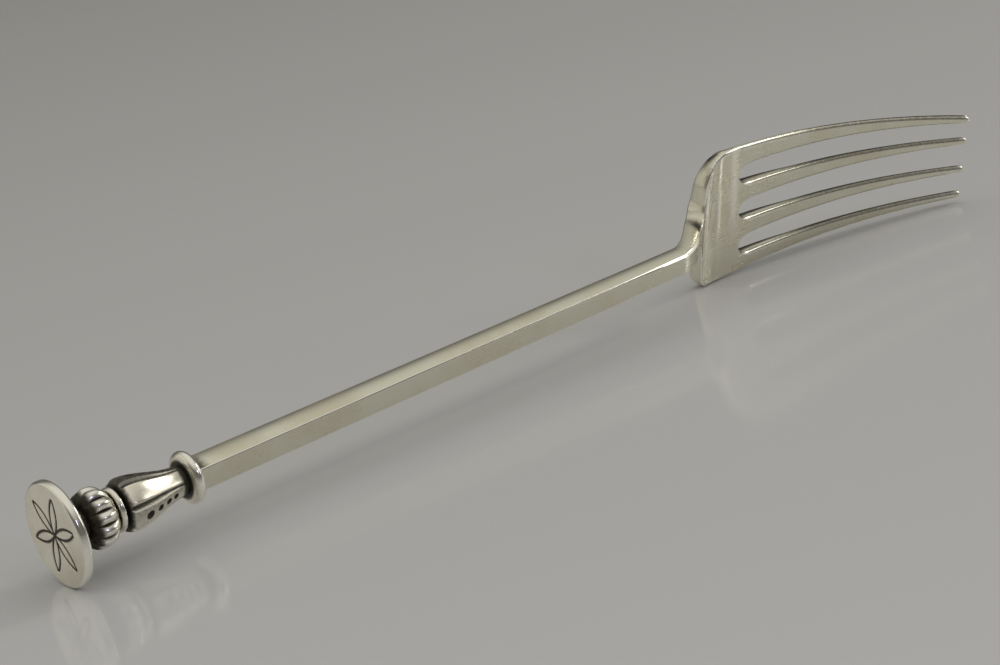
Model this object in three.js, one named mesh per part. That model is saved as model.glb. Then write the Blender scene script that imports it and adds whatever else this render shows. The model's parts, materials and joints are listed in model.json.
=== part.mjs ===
// A silver seal-top fork, lying on its side as it comes to rest on a table.
// Lengths are in millimetres. In the fork's own frame +X runs from the seal to the tips of the tines,
// +Z runs across the tines, and the hollow front of the head looks along -Y.

import * as THREE from 'three';
import { mergeVertices } from 'three/addons/utils/BufferGeometryUtils.js';

// Seal and neck
const SEAL_DIAMETER = 13.5;
const SEAL_THICKNESS = 1.25;
const SEAL_EDGE_RADIUS = 0.4;
const NECK_DIAMETER = 4.4;
const NECK_LENGTH = 2.1;

// Lobed knop
const KNOP_DIAMETER = 7.7;
const KNOP_END_DIAMETER = 5.0;
const KNOP_LENGTH = 3.7;
const KNOP_LOBES = 12;
const KNOP_LOBE_DEPTH = 0.55;

// Fillet ring between the knop and the baluster
const FILLET_DIAMETER = 5.8;
const FILLET_END_DIAMETER = 4.9;
const FILLET_LENGTH = 0.9;

// Panelled baluster
const BALUSTER_DIAMETER = 7.1;
const BALUSTER_LIP_DIAMETER = 5.9;
const BALUSTER_LIP_LENGTH = 1.0;
const BALUSTER_WAIST_DIAMETER = 4.3;
const BALUSTER_LENGTH = 8.7;
const BALUSTER_PANELS = 6;
const BALUSTER_GROOVE_DEPTH = 0.45;

// Collar between the baluster and the stem
const COLLAR_DIAMETER = 6.9;
const COLLAR_END_DIAMETER = 4.9;
const COLLAR_LENGTH = 1.6;

// Tang inside the finial, and the soldered gaps round it
const TANG_SIDE = 1.6;
const TANG_CLEARANCE = 0.3;
const JOINT_GAP = 0.3;

// Square stem
const STEM_LENGTH = 83.3;
const STEM_WIDTH_AT_COLLAR = 3.66;
const STEM_WIDTH_AT_CRANK = 3.6;
const STEM_DEPTH_AT_COLLAR = 3.5;
const STEM_DEPTH_AT_CRANK = 2.8;

// Cranked neck, which sets the head back from the stem
const CRANK_LENGTH = 10.2;
const CRANK_SETBACK = 5.9;
const CRANK_END_SLOPE = -0.7;
const NECK_WIDTH = 4.6;

// Shoulders and head plate
const HEEL_LENGTH = 2.2;
const HEEL_SETBACK = 0.45;
const PLATE_LENGTH = 5.6;
const PLATE_THICKNESS = 1.85;
const SHOULDER_ANGLE = THREE.MathUtils.degToRad(84);
const SHOULDER_SETBACK = 7.6;
const SHOULDER_FILLET_RADIUS = 3.0;
const LOWER_CORNER_RADIUS = 1.8;
const UPPER_CORNER_RADIUS = 4.2;

// Slope of the filed band and the slots' roots across the head, which were cut a little askew
const HEAD_SKEW = 0.08;

// How far both edges of the head stand off the stem's middle, towards the uppermost tine
const HEAD_SHIFT = 0.35;

// Tines, counted from the one that lies on the table
const TINE_COUNT = 4;
const TINE_LENGTH = 42.2;
const TINE_ARC_RADIUS = 98;
const TINE_ROOT_WIDTH = 3.3;
const TINE_TIP_WIDTH = 1.3;
const TINE_TIP_THICKNESS = 1.35;
const TINE_ROOT_PITCH = 6.1;
const TINE_TIP_PITCH = 5.2;
const TIP_ROUNDING = 0.9;
const TIP_END_SHARE = 0.45;

// How far the upper tines are bent in by use at their tips, the uppermost first
const BENT_TIP_SETS = [-1.9, -0.3];

// Softened edges of the forging
const EDGE_BEVEL = 0.24;

// Facet counts
const ROUND_SEGMENTS = 48;
const STEPS_PER_LOBE = 6;
const STEPS_PER_PANEL = 10;
const BEAD_STEPS = 9;
const EDGE_STEPS = 3;
const BALUSTER_STEPS = 10;
const STEM_STEPS = 8;
const CRANK_STEPS = 9;
const SHOULDER_STEPS = 5;
const ROOT_STEPS = 5;
const TINE_STEPS = 18;
const TIP_STEPS = 4;
const REST_STEPS = 12;

// Smallest distance between two stations of the forging, and between two corners of any piece
const STATION_SPACING = 0.04;
const CORNER_SPACING = 1e-4;

// Silver, in the shades that the photograph shows
const SILVER = { roughness: 0.28, metalness: 1 };
const FORGED_COLOUR = 0xc9c6b4;
const CAST_COLOUR = 0xb9b4a2;
const SEAL_COLOUR = 0xd2cebd;

// Places along the fork
const neckEnd = SEAL_THICKNESS + NECK_LENGTH;
const knopStart = neckEnd + JOINT_GAP;
const filletStart = knopStart + KNOP_LENGTH + JOINT_GAP;
const balusterStart = filletStart + FILLET_LENGTH + JOINT_GAP;
const collarStart = balusterStart + BALUSTER_LENGTH + JOINT_GAP;
const stemStart = collarStart + COLLAR_LENGTH + JOINT_GAP;
const crankStart = stemStart + STEM_LENGTH;
const crankEnd = crankStart + CRANK_LENGTH;
const plateStart = crankEnd + HEEL_LENGTH;
const slotRoot = plateStart + PLATE_LENGTH;
const tineTip = slotRoot + TINE_LENGTH;

// The tang reaches half way into the neck of the seal
const tangEnd = SEAL_THICKNESS + NECK_LENGTH / 2;
const boreRadius = TANG_SIDE * Math.SQRT1_2 + TANG_CLEARANCE;

// Slots between the tines, and half the width of the head plate at their roots
const slotRootRadius = (TINE_ROOT_PITCH - TINE_ROOT_WIDTH) / 2;
const outerTineIndex = (TINE_COUNT - 1) / 2;
const outerRoot = outerTineIndex * TINE_ROOT_PITCH + TINE_ROOT_WIDTH / 2;

// Plan of a shoulder: a hollow fillet from the neck, a straight edge and a corner, sharp before it is rounded
const sharpCorner = slotRoot - SHOULDER_SETBACK;
const arcRise = 1 - Math.cos(SHOULDER_ANGLE);
const arcRun = Math.sin(SHOULDER_ANGLE);
const filletEndWidth = NECK_WIDTH / 2 + SHOULDER_FILLET_RADIUS * arcRise;
const shoulderStart = sharpCorner - (outerRoot - filletEndWidth) / Math.tan(SHOULDER_ANGLE);
const shoulderFilletStart = shoulderStart - SHOULDER_FILLET_RADIUS * arcRun;

function mix(from, to, share) {
  return from + (to - from) * share;
}

function share(from, to, value) {
  return THREE.MathUtils.clamp((value - from) / (to - from), 0, 1);
}

function smoothShare(from, to, value) {
  return THREE.MathUtils.smoothstep(value, from, to);
}

function evenSteps(from, to, steps) {
  return Array.from({ length: steps + 1 }, (_, index) => mix(from, to, index / steps));
}

// A cubic that leaves one height level and reaches another at a given slope
function crankCurve(from, to, length, endSlope, travel) {
  const t = travel / length;
  const blend = t * t * (3 - 2 * t);
  const ease = t * t * (t - 1);
  return mix(from, to, blend) + ease * length * endSlope;
}

function crankSlope(from, to, length, endSlope, travel) {
  const t = travel / length;
  return 6 * t * (1 - t) * (to - from) / length + (3 * t - 2) * t * endSlope;
}

// Side view of the forging

function stemDepth(u) {
  return mix(STEM_DEPTH_AT_COLLAR, STEM_DEPTH_AT_CRANK, share(stemStart, crankStart, u));
}

function frontHeight(u) {
  const stemFront = stemDepth(u) / 2;
  if (u <= crankStart) return stemFront;
  const crankFront = stemFront - CRANK_SETBACK;
  if (u <= crankEnd) {
    return crankCurve(stemFront, crankFront, CRANK_LENGTH, CRANK_END_SLOPE, u - crankStart);
  }
  const plateFront = crankFront - HEEL_SETBACK * share(crankEnd, plateStart, u);
  if (u <= slotRoot) return plateFront;
  const reach = u - slotRoot;
  return plateFront + TINE_ARC_RADIUS - Math.sqrt(TINE_ARC_RADIUS ** 2 - reach ** 2);
}

// A bent bar keeps its thickness square to the bend, so the crank measures more from front to back
function crankThickening(u) {
  const travel = THREE.MathUtils.clamp(u - crankStart, 0, CRANK_LENGTH);
  const slope = crankSlope(0, -CRANK_SETBACK, CRANK_LENGTH, CRANK_END_SLOPE, travel);
  const fading = smoothShare(crankEnd - HEEL_LENGTH / 2, crankEnd, u);
  return mix(Math.hypot(1, slope), 1, fading);
}

function thickness(u) {
  if (u <= slotRoot) {
    const halfHeel = HEEL_LENGTH / 2;
    const thinning = smoothShare(crankEnd - halfHeel, plateStart + halfHeel, u);
    return mix(stemDepth(u) * crankThickening(u), PLATE_THICKNESS, thinning);
  }
  return mix(PLATE_THICKNESS, TINE_TIP_THICKNESS, share(slotRoot, tineTip, u));
}

// Plan of the forging, as half its width at each place before the slots start

function cornerEnd(cornerRadius) {
  return sharpCorner + cornerRadius * Math.tan(SHOULDER_ANGLE / 2);
}

function bladeHalfWidth(u, cornerRadius) {
  if (u <= crankStart) {
    return mix(STEM_WIDTH_AT_COLLAR, STEM_WIDTH_AT_CRANK, share(stemStart, crankStart, u)) / 2;
  }
  if (u <= shoulderFilletStart) {
    return mix(STEM_WIDTH_AT_CRANK, NECK_WIDTH, smoothShare(crankStart, shoulderFilletStart, u)) / 2;
  }
  if (u <= shoulderStart) {
    const run = u - shoulderFilletStart;
    return NECK_WIDTH / 2 + SHOULDER_FILLET_RADIUS - Math.sqrt(SHOULDER_FILLET_RADIUS ** 2 - run ** 2);
  }
  const run = cornerEnd(cornerRadius) - u;
  if (run >= cornerRadius * arcRun) {
    return mix(filletEndWidth, outerRoot, share(shoulderStart, sharpCorner, u));
  }
  if (run > 0) return outerRoot - cornerRadius + Math.sqrt(cornerRadius ** 2 - run ** 2);
  return outerRoot;
}

// Metal left at the round root of a slot, on either side of it
function rootFill(u) {
  const left = slotRootRadius - (u - slotRoot);
  if (left <= 0) return 0;
  return slotRootRadius - Math.sqrt(Math.max(slotRootRadius ** 2 - left ** 2, 0));
}

// Taper of a tine's end, which is rounded off like a worn tip
function tipRounding(u) {
  const travel = share(tineTip - TIP_ROUNDING, tineTip, u);
  return Math.sqrt(1 - (1 - TIP_END_SHARE ** 2) * travel ** 2);
}

function tipSet(tine) {
  return BENT_TIP_SETS[TINE_COUNT - 1 - tine] ?? 0;
}

function headShift(u) {
  return HEAD_SHIFT * smoothShare(shoulderFilletStart, sharpCorner, u) * (1 - share(slotRoot, tineTip, u));
}

// One tine's strip of the forging: where its edges run, and how far each edge is bevelled
function stripEdges(tine, u) {
  const first = tine === 0;
  const last = tine === TINE_COUNT - 1;
  const shift = headShift(u);
  if (u <= slotRoot) {
    const lower = bladeHalfWidth(u, LOWER_CORNER_RADIUS);
    const upper = bladeHalfWidth(u, UPPER_CORNER_RADIUS);
    const inner = upper * TINE_ROOT_PITCH / outerRoot;
    const left = first ? shift - lower : (tine - TINE_COUNT / 2) * inner;
    const right = last ? shift + upper : (tine + 1 - TINE_COUNT / 2) * inner;
    return { left, right, leftBevel: first ? EDGE_BEVEL : 0, rightBevel: last ? EDGE_BEVEL : 0 };
  }
  const along = share(slotRoot, tineTip, u);
  const pitch = mix(TINE_ROOT_PITCH, TINE_TIP_PITCH, along);
  const centre = (tine - outerTineIndex) * pitch + tipSet(tine) * along ** 2;
  const half = mix(TINE_ROOT_WIDTH, TINE_TIP_WIDTH, along) / 2 * tipRounding(u);
  const innerBevel = EDGE_BEVEL * smoothShare(slotRoot, slotRoot + 2 * slotRootRadius, u);
  return {
    left: centre - half + (first ? shift : -rootFill(u)),
    right: centre + half + (last ? shift : rootFill(u)),
    leftBevel: first ? EDGE_BEVEL : innerBevel,
    rightBevel: last ? EDGE_BEVEL : innerBevel,
  };
}

function headSkew(u) {
  return HEAD_SKEW * smoothShare(crankEnd, slotRoot, u) * (1 - share(slotRoot, tineTip, u));
}

// A bevelled rectangle across the fork, from its front face round to its left side
function sectionRing(u, front, back, { left, right, leftBevel, rightBevel }) {
  const corners = [
    [left + leftBevel, front], [right - rightBevel, front],
    [right, front - rightBevel], [right, back + rightBevel],
    [right - rightBevel, back], [left + leftBevel, back],
    [left, back + leftBevel], [left, front - leftBevel],
  ];
  const skew = headSkew(u);
  return corners.map(([across, height]) => new THREE.Vector3(u - skew * across, -height, across));
}

function tangRing(tine, u) {
  const half = TANG_SIDE / 2;
  const left = mix(-half, half, tine / TINE_COUNT);
  const right = mix(-half, half, (tine + 1) / TINE_COUNT);
  return sectionRing(u, half, -half, { left, right, leftBevel: 0, rightBevel: 0 });
}

function bladeRing(tine, u) {
  const front = frontHeight(u);
  const thick = thickness(u);
  const trim = thick * (1 - tipRounding(u)) / 2;
  return sectionRing(u, front - trim, front - thick + trim, stripEdges(tine, u));
}

// Stations along the stem, neck, head and tines, closer together where the outline turns
function bladeStations() {
  const arcs = evenSteps(0, 1, SHOULDER_STEPS).map((part) => Math.sin(SHOULDER_ANGLE * part));
  const roots = evenSteps(0, Math.PI / 2, ROOT_STEPS).map((angle) => 1 - Math.cos(angle));
  const stations = [
    ...evenSteps(stemStart, crankStart, STEM_STEPS),
    ...evenSteps(crankStart, crankEnd, CRANK_STEPS),
    ...arcs.map((run) => shoulderFilletStart + SHOULDER_FILLET_RADIUS * run),
    ...arcs.map((run) => cornerEnd(LOWER_CORNER_RADIUS) - LOWER_CORNER_RADIUS * run),
    ...arcs.map((run) => cornerEnd(UPPER_CORNER_RADIUS) - UPPER_CORNER_RADIUS * run),
    plateStart,
    ...roots.map((run) => slotRoot + slotRootRadius * run),
    ...evenSteps(slotRoot + slotRootRadius, tineTip - TIP_ROUNDING, TINE_STEPS),
    ...evenSteps(tineTip - TIP_ROUNDING, tineTip, TIP_STEPS),
  ].sort((a, b) => a - b);
  const kept = [stemStart, crankStart, crankEnd, plateStart, slotRoot, tineTip];
  return stations.filter((u, index) => {
    if (kept.includes(u)) return stations.indexOf(u) === index;
    return kept.every((place) => Math.abs(place - u) > STATION_SPACING)
      && (index === 0 || u - stations[index - 1] > STATION_SPACING);
  });
}

// Joins triangles given as corner points into one closed body, without slivers of no area
function bodyFromTriangles(triangles) {
  const positions = triangles.flatMap((corners) => corners.flatMap((point) => point.toArray()));
  const soup = new THREE.BufferGeometry();
  soup.setAttribute('position', new THREE.Float32BufferAttribute(positions, 3));
  return closedBody(soup);
}

function closedBody(geometry) {
  geometry.deleteAttribute('normal');
  geometry.deleteAttribute('uv');
  const merged = mergeVertices(geometry, CORNER_SPACING);
  const faces = [];
  for (let start = 0; start < merged.index.count; start += 3) {
    const corners = [0, 1, 2].map((offset) => merged.index.getX(start + offset));
    if (new Set(corners).size === 3) faces.push(...corners);
  }
  merged.setIndex(faces);
  merged.computeVertexNormals();
  return merged;
}

// Skins a row of section rings, leaving out the edges that lie inside the metal
function skinRings(near, far, edges) {
  const count = near.length;
  return edges.flatMap((edge) => {
    const next = (edge + 1) % count;
    return [
      [near[edge], far[edge], far[next]],
      [near[edge], far[next], near[next]],
    ];
  });
}

function capRing(ring, facesTips) {
  const triangles = [];
  for (let corner = 1; corner < ring.length - 1; corner += 1) {
    const pair = facesTips ? [ring[corner + 1], ring[corner]] : [ring[corner], ring[corner + 1]];
    triangles.push([ring[0], ...pair]);
  }
  return triangles;
}

function stripSkin(tine) {
  const stations = bladeStations();
  const rows = [
    { u: tangEnd, ring: tangRing(tine, tangEnd) },
    { u: stemStart, ring: tangRing(tine, stemStart) },
    ...stations.map((u) => ({ u, ring: bladeRing(tine, u) })),
  ];
  const faceEdges = [0, 4];
  const rightEdges = [1, 2, 3];
  const leftEdges = [5, 6, 7];
  const triangles = capRing(rows[0].ring, false);
  for (let row = 0; row < rows.length - 1; row += 1) {
    const slotted = rows[row + 1].u > slotRoot;
    const edges = [...faceEdges];
    if (slotted || tine === TINE_COUNT - 1) edges.push(...rightEdges);
    if (slotted || tine === 0) edges.push(...leftEdges);
    triangles.push(...skinRings(rows[row].ring, rows[row + 1].ring, edges));
  }
  triangles.push(...capRing(rows[rows.length - 1].ring, true));
  return triangles;
}

function forkForging() {
  const tines = Array.from({ length: TINE_COUNT }, (_, tine) => tine);
  return bodyFromTriangles(tines.flatMap(stripSkin));
}

// Turns a profile of radius and place along the fork about the fork's axis.
// The relief says how much each point of the round surface is cut back.
function turnedBody(profile, segments, relief = () => 0) {
  const lathe = new THREE.LatheGeometry(profile, segments);
  const position = lathe.attributes.position;
  for (let index = 0; index < position.count; index += 1) {
    const angle = Math.atan2(position.getX(index), position.getZ(index));
    const radius = Math.hypot(position.getX(index), position.getZ(index));
    const cut = radius - relief(angle, radius, position.getY(index));
    position.setX(index, Math.sin(angle) * cut);
    position.setZ(index, Math.cos(angle) * cut);
  }
  lathe.rotateZ(-Math.PI / 2);
  return closedBody(lathe);
}

function point(radius, along) {
  return new THREE.Vector2(radius, along);
}

// Closes an outer profile with flat ends and the bore that the tang passes through
function boredProfile(outer, start, end) {
  return [point(boreRadius, start), ...outer, point(boreRadius, end), point(boreRadius, start)];
}

// A bead, half an ellipse tall between two flat ends
function beadProfile(start, length, endDiameter, crestDiameter) {
  const rise = (crestDiameter - endDiameter) / 2;
  const outer = evenSteps(0, Math.PI, BEAD_STEPS).map((angle) => point(
    endDiameter / 2 + rise * Math.sin(angle),
    start + length * (1 - Math.cos(angle)) / 2,
  ));
  return boredProfile(outer, start, start + length);
}

// Round lobes with a sharp valley between each two, deepest at the crest
function lobeValley(count, angle) {
  return 1 - Math.abs(Math.cos(count * angle / 2));
}

function stemCollar() {
  const profile = beadProfile(collarStart, COLLAR_LENGTH, COLLAR_END_DIAMETER, COLLAR_DIAMETER);
  return turnedBody(profile, ROUND_SEGMENTS);
}

function filletRing() {
  const profile = beadProfile(filletStart, FILLET_LENGTH, FILLET_END_DIAMETER, FILLET_DIAMETER);
  return turnedBody(profile, ROUND_SEGMENTS);
}

function lobedKnop() {
  const profile = beadProfile(knopStart, KNOP_LENGTH, KNOP_END_DIAMETER, KNOP_DIAMETER);
  const relief = (angle, radius) => KNOP_LOBE_DEPTH * lobeValley(KNOP_LOBES, angle)
    * smoothShare(boreRadius, KNOP_DIAMETER / 2, radius);
  return turnedBody(profile, KNOP_LOBES * STEPS_PER_LOBE, relief);
}

function baluster() {
  const end = balusterStart + BALUSTER_LENGTH;
  const shoulder = balusterStart + BALUSTER_LIP_LENGTH;
  const taper = (end - shoulder) / 3;
  const lipRise = (BALUSTER_DIAMETER - BALUSTER_LIP_DIAMETER) / 2;
  const lip = evenSteps(0, Math.PI / 2, EDGE_STEPS).map((angle) => point(
    BALUSTER_LIP_DIAMETER / 2 + lipRise * Math.sin(angle),
    shoulder - BALUSTER_LIP_LENGTH * Math.cos(angle),
  ));
  const body = new THREE.CubicBezierCurve(
    point(BALUSTER_DIAMETER / 2, shoulder),
    point(BALUSTER_DIAMETER / 2, shoulder + taper),
    point(BALUSTER_WAIST_DIAMETER / 2, end - taper),
    point(BALUSTER_WAIST_DIAMETER / 2, end),
  ).getPoints(BALUSTER_STEPS);
  const profile = boredProfile([...lip, ...body.slice(1)], balusterStart, end);
  const halfPanel = Math.PI / BALUSTER_PANELS;
  const relief = (angle, radius) => BALUSTER_GROOVE_DEPTH * lobeValley(BALUSTER_PANELS, angle + halfPanel)
    * smoothShare(boreRadius, BALUSTER_DIAMETER / 2, radius);
  return turnedBody(profile, BALUSTER_PANELS * STEPS_PER_PANEL, relief);
}

function sealDisc() {
  const rim = SEAL_DIAMETER / 2;
  const edge = SEAL_EDGE_RADIUS;
  const quarter = evenSteps(0, Math.PI / 2, EDGE_STEPS);
  const frontEdge = quarter.map((angle) => point(
    rim - edge + edge * Math.sin(angle),
    edge - edge * Math.cos(angle),
  ));
  const backEdge = quarter.map((angle) => point(
    rim - edge + edge * Math.cos(angle),
    SEAL_THICKNESS - edge + edge * Math.sin(angle),
  ));
  const socketFloor = tangEnd - JOINT_GAP;
  return turnedBody([
    point(0, 0), ...frontEdge, ...backEdge,
    point(NECK_DIAMETER / 2, SEAL_THICKNESS), point(NECK_DIAMETER / 2, neckEnd),
    point(boreRadius, neckEnd), point(boreRadius, socketFloor), point(0, socketFloor),
  ], ROUND_SEGMENTS);
}

function piece(name, geometry, color) {
  const mesh = new THREE.Mesh(geometry, new THREE.MeshStandardMaterial({ color, ...SILVER }));
  mesh.name = name;
  return mesh;
}

// The three places that the fork rests on: the seal's rim, the heel of the head and the lowest tip

function cornerPoints(geometry, keep) {
  const position = geometry.attributes.position;
  const points = Array.from({ length: position.count }, (_, index) => (
    new THREE.Vector3().fromBufferAttribute(position, index)
  ));
  return points.filter(keep);
}

function lowestPoint(points, up) {
  return points.reduce((low, next) => (next.dot(up) < low.dot(up) ? next : low));
}

function restingUp(seal, forging) {
  const supports = [
    cornerPoints(seal, () => true),
    cornerPoints(forging, (place) => place.x > crankStart && place.x < slotRoot),
    cornerPoints(forging, (place) => place.x > tineTip - 2 * TIP_ROUNDING),
  ];
  let up = new THREE.Vector3(0, 0, 1);
  for (let step = 0; step < REST_STEPS; step += 1) {
    const [rim, heel, tip] = supports.map((points) => lowestPoint(points, up));
    const normal = heel.clone().sub(rim).cross(tip.clone().sub(rim)).normalize();
    up = normal.z < 0 ? normal.negate() : normal;
  }
  return up;
}

// Lays the fork on those places, with the middle of its footprint at the origin
function layDown(fork, seal, forging) {
  const up = restingUp(seal, forging);
  const along = new THREE.Vector3(1, 0, 0).addScaledVector(up, -up.x).normalize();
  const away = up.clone().cross(along);
  const turn = new THREE.Matrix4().makeBasis(along, away, up).transpose();
  fork.quaternion.setFromRotationMatrix(turn);
  fork.updateMatrixWorld(true);
  const box = new THREE.Box3().setFromObject(fork, true);
  const middle = box.getCenter(new THREE.Vector3());
  fork.position.set(-middle.x, -middle.y, -box.min.z);
}

const forging = forkForging();
const seal = sealDisc();
const fork = new THREE.Group();
fork.add(
  piece('fork_forging', forging, FORGED_COLOUR),
  piece('stem_collar', stemCollar(), CAST_COLOUR),
  piece('baluster', baluster(), CAST_COLOUR),
  piece('fillet_ring', filletRing(), CAST_COLOUR),
  piece('lobed_knop', lobedKnop(), CAST_COLOUR),
  piece('seal_disc', seal, SEAL_COLOUR),
);
layDown(fork, seal, forging);

export default fork;
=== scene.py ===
"""A silver seal-top fork: the forging, the members of its soldered finial, their finish and a studio.

Lengths are in metres. In the fork's own frame X runs from the seal to the tips of the tines, Y runs
towards the back of the head and Z runs across the tines. Finished pieces are laid down in place.
"""

import json
import math
from functools import cache
from types import SimpleNamespace

import bpy
import numpy as np
from bpy.props import FloatProperty, FloatVectorProperty, IntProperty, PointerProperty
from bpy.types import Operator, Panel, PropertyGroup
from mathutils import Matrix, Vector


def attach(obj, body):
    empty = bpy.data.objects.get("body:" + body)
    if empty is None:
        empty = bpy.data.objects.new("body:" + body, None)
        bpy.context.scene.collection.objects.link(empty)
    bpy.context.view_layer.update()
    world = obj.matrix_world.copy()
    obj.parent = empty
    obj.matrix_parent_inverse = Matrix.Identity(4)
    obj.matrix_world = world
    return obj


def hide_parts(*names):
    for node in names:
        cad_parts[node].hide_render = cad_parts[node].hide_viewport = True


bl_info = {
    "name": "Seal-top fork",
    "version": (1, 0, 0),
    "blender": (4, 5, 0),
    "location": "View3D > Sidebar > Fork",
    "description": "Builds a silver seal-top fork and the studio that it lies in",
    "category": "Object",
}

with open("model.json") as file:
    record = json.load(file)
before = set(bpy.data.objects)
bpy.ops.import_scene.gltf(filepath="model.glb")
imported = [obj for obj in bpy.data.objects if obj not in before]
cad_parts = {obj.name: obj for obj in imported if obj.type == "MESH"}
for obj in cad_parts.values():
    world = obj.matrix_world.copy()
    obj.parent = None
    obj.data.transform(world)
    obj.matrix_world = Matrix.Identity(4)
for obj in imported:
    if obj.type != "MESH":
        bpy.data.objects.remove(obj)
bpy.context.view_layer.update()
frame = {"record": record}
SEAL_FACE = next(mount for mount in frame["record"]["mounts"] if mount["name"] == "seal_face")
MM = 0.001
BODY = "root"
FULL_TURN = 2 * math.pi
CREASE = math.radians(38)


def length(name, description, millimetres):
    """A size that the user can change, given here in millimetres."""
    return FloatProperty(name=name, description=description, default=millimetres * MM, min=0.0,
                         unit="LENGTH", precision=5)


def colour(name, description, default):
    """A colour that the user can change."""
    return FloatVectorProperty(name=name, description=description, default=default, size=3,
                               subtype="COLOR", min=0.0, max=1.0)


def amount(name, description, default, largest=1.0):
    """A plain number that the user can change."""
    return FloatProperty(name=name, description=description, default=default, min=0.0, max=largest)


def whole_number(name, description, default):
    """A whole number that the user can change."""
    return IntProperty(name=name, description=description, default=default, min=2)


def light_power(name, description, watts):
    """The power of a light that the user can change."""
    return FloatProperty(name=name, description=description, default=watts, min=0.0, unit="POWER")


def angle(name, description, degrees):
    """An angle that the user can change, given here in degrees."""
    return FloatProperty(name=name, description=description, default=math.radians(degrees),
                         subtype="ANGLE")


class FinialSizes(PropertyGroup):
    """Sizes of the soldered members between the seal and the stem."""

    seal_diameter: length("Seal diameter", "Across the round seal", 13.49)
    seal_thickness: length("Seal thickness", "Through the seal's plate", 1.25)
    seal_edge: length("Seal edge", "Radius of the seal's worn edge", 0.42)
    neck_diameter: length("Neck diameter", "Across the seal's neck", 4.4)
    neck_length: length("Neck length", "Along the seal's neck", 2.1)
    knop_diameter: length("Knop diameter", "Across the knop's lobes", 7.7)
    knop_end: length("Knop end", "Across the knop's flat ends", 5.0)
    knop_length: length("Knop length", "Along the knop", 3.7)
    knop_lobes: whole_number("Knop lobes", "Lobes round the knop", 12)
    knop_lobe_depth: length("Lobe depth", "Depth of the valleys between the lobes", 0.62)
    fillet_diameter: length("Fillet diameter", "Across the thin ring", 5.8)
    fillet_end: length("Fillet end", "Across the thin ring's flat ends", 4.9)
    fillet_length: length("Fillet length", "Along the thin ring", 0.9)
    baluster_diameter: length("Baluster diameter", "Across the baluster's widest place", 6.9)
    baluster_lip: length("Baluster lip", "Across the baluster's wide end", 5.9)
    baluster_lip_length: length("Lip length", "From the wide end to the widest place", 1.0)
    baluster_waist: length("Baluster waist", "Across the baluster's narrow end", 3.9)
    baluster_length: length("Baluster length", "Along the baluster", 8.7)
    baluster_panels: whole_number("Panels", "Panels round the baluster", 6)
    panel_turn: angle("Panel turn", "How far the panels are turned towards the front", 8.0)
    groove_depth: length("Groove depth", "Depth of the grooves between the panels", 0.62)
    dot_depth: length("Dot depth", "Depth of the punched dots", 0.32)
    collar_diameter: length("Collar diameter", "Across the collar", 6.9)
    collar_end: length("Collar end", "Across the collar's flat ends", 4.9)
    collar_length: length("Collar length", "Along the collar", 1.6)
    joint_gap: length("Joint gap", "Length of a soldered seam", 0.3)
    seam_step: length("Seam step", "How far a seam lies below the members beside it", 0.55)
    bore_radius: length("Bore radius", "Radius of the hole that the tang passes through", 1.43)


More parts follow.
